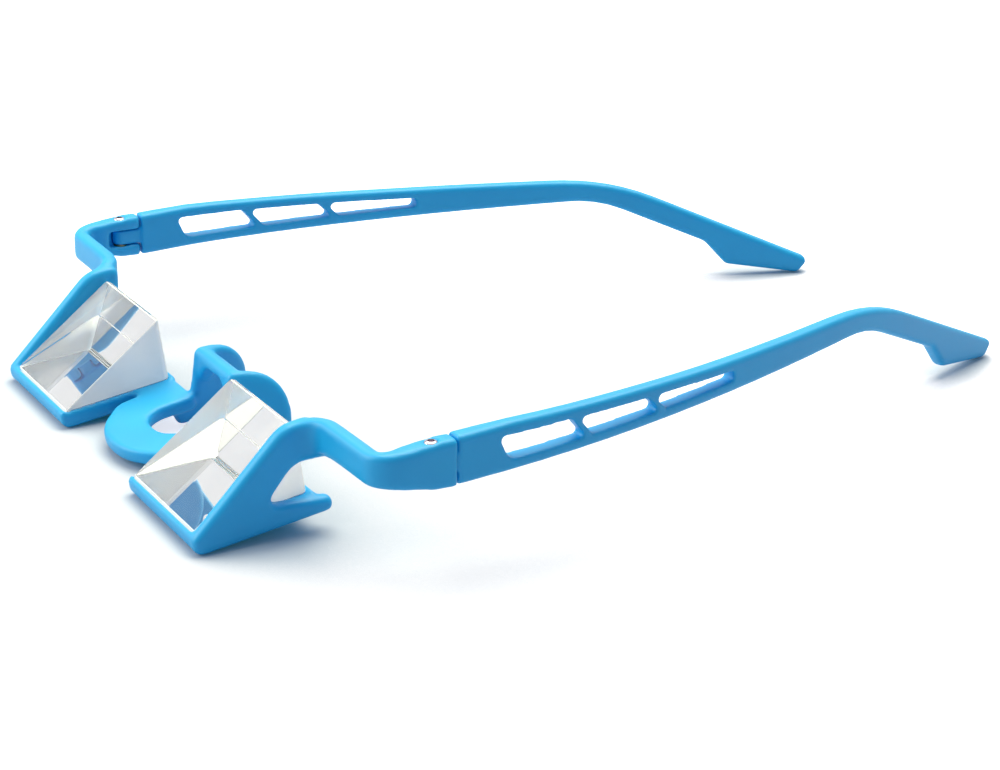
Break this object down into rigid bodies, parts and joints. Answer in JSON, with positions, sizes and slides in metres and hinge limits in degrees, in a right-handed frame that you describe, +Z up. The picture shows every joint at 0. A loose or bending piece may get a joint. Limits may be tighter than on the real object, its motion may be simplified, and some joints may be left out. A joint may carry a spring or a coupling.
{
  "type": "belay glasses",
  "caption": "Folding prism spectacles that turn a level gaze upwards: mirrored glass wedges in a one-piece moulded front with a nose saddle and windowed temples.",
  "frame": {"origin": "on the table plane, under the middle of the open glasses' bounding box", "axes": "+X to the wearer's left, +Y from the prisms back along the temples, +Z up"},
  "size_m": [0.136, 0.1749, 0.0228],
  "materials": {
    "frame_plastic": "fine satin moulding",
    "temple_plastic": "fine satin moulding",
    "prism_glass": "polished optical glass",
    "silvering": "silvered, lacquered behind",
    "bond": "cured clear adhesive",
    "screw_steel": "satin",
    "insert_brass": "turned"
  },
  "bodies": {
    "front": {"front_frame": "frame_plastic", "left_prism": "prism_glass", "right_prism": "prism_glass", "left_mirror_coat": "silvering", "right_mirror_coat": "silvering", "left_bond": "bond", "right_bond": "bond", "left_hinge_screw": "screw_steel", "right_hinge_screw": "screw_steel", "left_hinge_insert": "insert_brass", "right_hinge_insert": "insert_brass"},
    "left_arm": {"left_temple": "temple_plastic"},
    "right_arm": {"right_temple": "temple_plastic"}
  },
  "joints": [
    {"name": "left_temple_fold", "type": "hinge", "parent": "front", "child": "left_arm", "pos_m": [0.0658, -0.0561, 0.0179], "axis": [0, 0, 1], "range_deg": [0, 65]},
    {"name": "right_temple_fold", "type": "hinge", "parent": "front", "child": "right_arm", "pos_m": [-0.0658, -0.0561, 0.0179], "axis": [0, 0, -1], "range_deg": [0, 80]}
  ]
}
